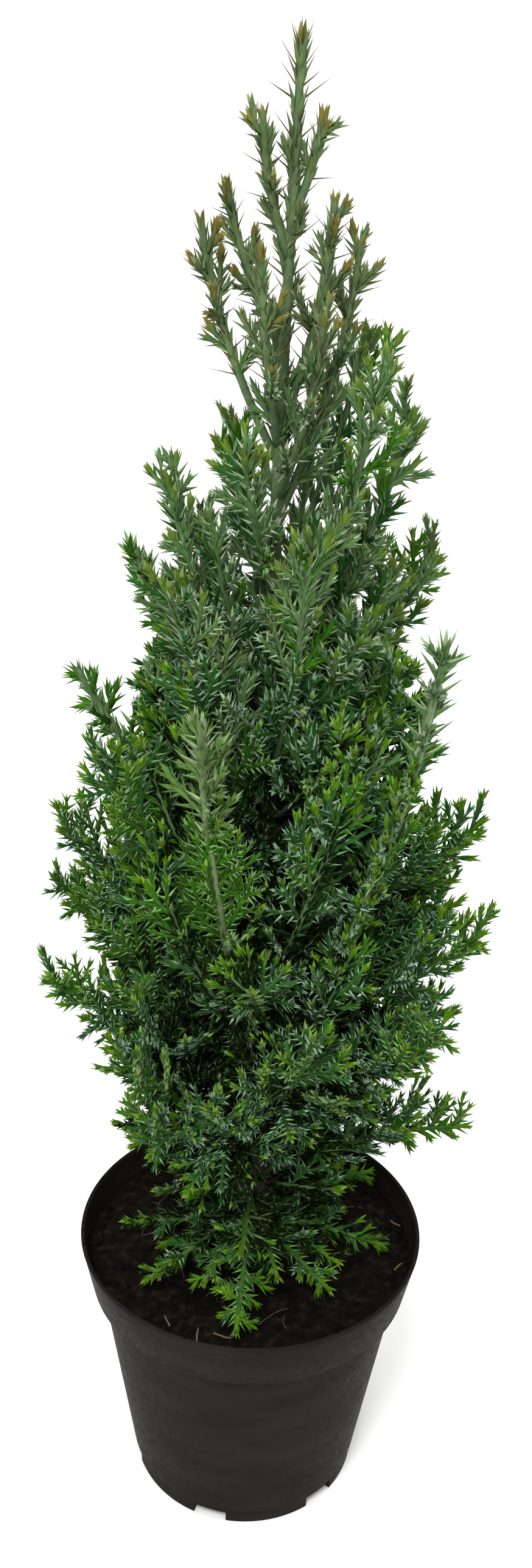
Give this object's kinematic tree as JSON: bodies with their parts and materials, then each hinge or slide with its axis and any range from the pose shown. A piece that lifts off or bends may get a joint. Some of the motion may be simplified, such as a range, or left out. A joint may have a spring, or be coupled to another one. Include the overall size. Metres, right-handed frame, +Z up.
{
  "type": "potted lawson cypress",
  "caption": "Young upright conifer with fine blue-green needled sprays on steep boughs around a straight trunk, rooted in peat in a tapered black nursery pot that stands on its flat base.",
  "frame": {"origin": "centre of the pot's flat underside", "axes": "+Z up along the trunk, -Y towards the pictured front, +X to the right as pictured"},
  "size_m": [0.1666, 0.13, 0.526],
  "materials": {
    "pot": "dusty matte black",
    "soil": "damp dark peat",
    "bark": "thin brown bark, greenish on young wood",
    "foliage": "blue-green needles with paler tips"
  },
  "bodies": {
    "root": {"bough_left_front": "bark", "bough_left_high": "bark", "bough_right_front": "bark", "bough_right_low": "bark", "bough_right_middle": "bark", "bough_shoulder_left": "bark", "bough_shoulder_right": "bark", "bough_spire_left": "bark", "foliage_back_1": "foliage", "foliage_back_2": "foliage", "foliage_back_3": "foliage", "foliage_back_4": "foliage", "foliage_back_5": "foliage", "foliage_back_6": "foliage", "foliage_crown_left": "foliage", "foliage_crown_right": "foliage", "foliage_front_high": "foliage", "foliage_front_low": "foliage", "foliage_front_middle": "foliage", "foliage_front_middle_right": "foliage", "foliage_leader": "foliage", "foliage_left_front": "foliage", "foliage_left_high": "foliage", "foliage_left_high_front": "foliage", "foliage_left_low": "foliage", "foliage_left_low_front": "foliage", "foliage_left_middle": "foliage", "foliage_left_middle_back": "foliage", "foliage_left_skirt": "foliage", "foliage_right_front": "foliage", "foliage_right_high": "foliage", "foliage_right_high_front": "foliage", "foliage_right_low": "foliage", "foliage_right_low_front": "foliage", "foliage_right_middle": "foliage", "foliage_right_skirt": "foliage", "foliage_shoulder_front": "foliage", "foliage_shoulder_left": "foliage", "foliage_shoulder_left_back": "foliage", "foliage_shoulder_left_front": "foliage", "foliage_shoulder_right": "foliage", "foliage_shoulder_right_back": "foliage", "foliage_shoulder_right_outer": "foliage", "foliage_soil_spray_1": "foliage", "foliage_soil_spray_2": "foliage", "foliage_soil_spray_3": "foliage", "foliage_soil_spray_4": "foliage", "foliage_soil_spray_5": "foliage", "foliage_soil_spray_6": "foliage", "foliage_soil_spray_7": "foliage", "foliage_soil_spray_8": "foliage", "foliage_spire_front": "foliage", "foliage_spire_left": "foliage", "foliage_spire_left_back": "foliage", "foliage_spire_right": "foliage", "foliage_spire_right_outer": "foliage", "pot": "pot", "soil": "soil", "trunk": "bark"}
  },
  "joints": []
}
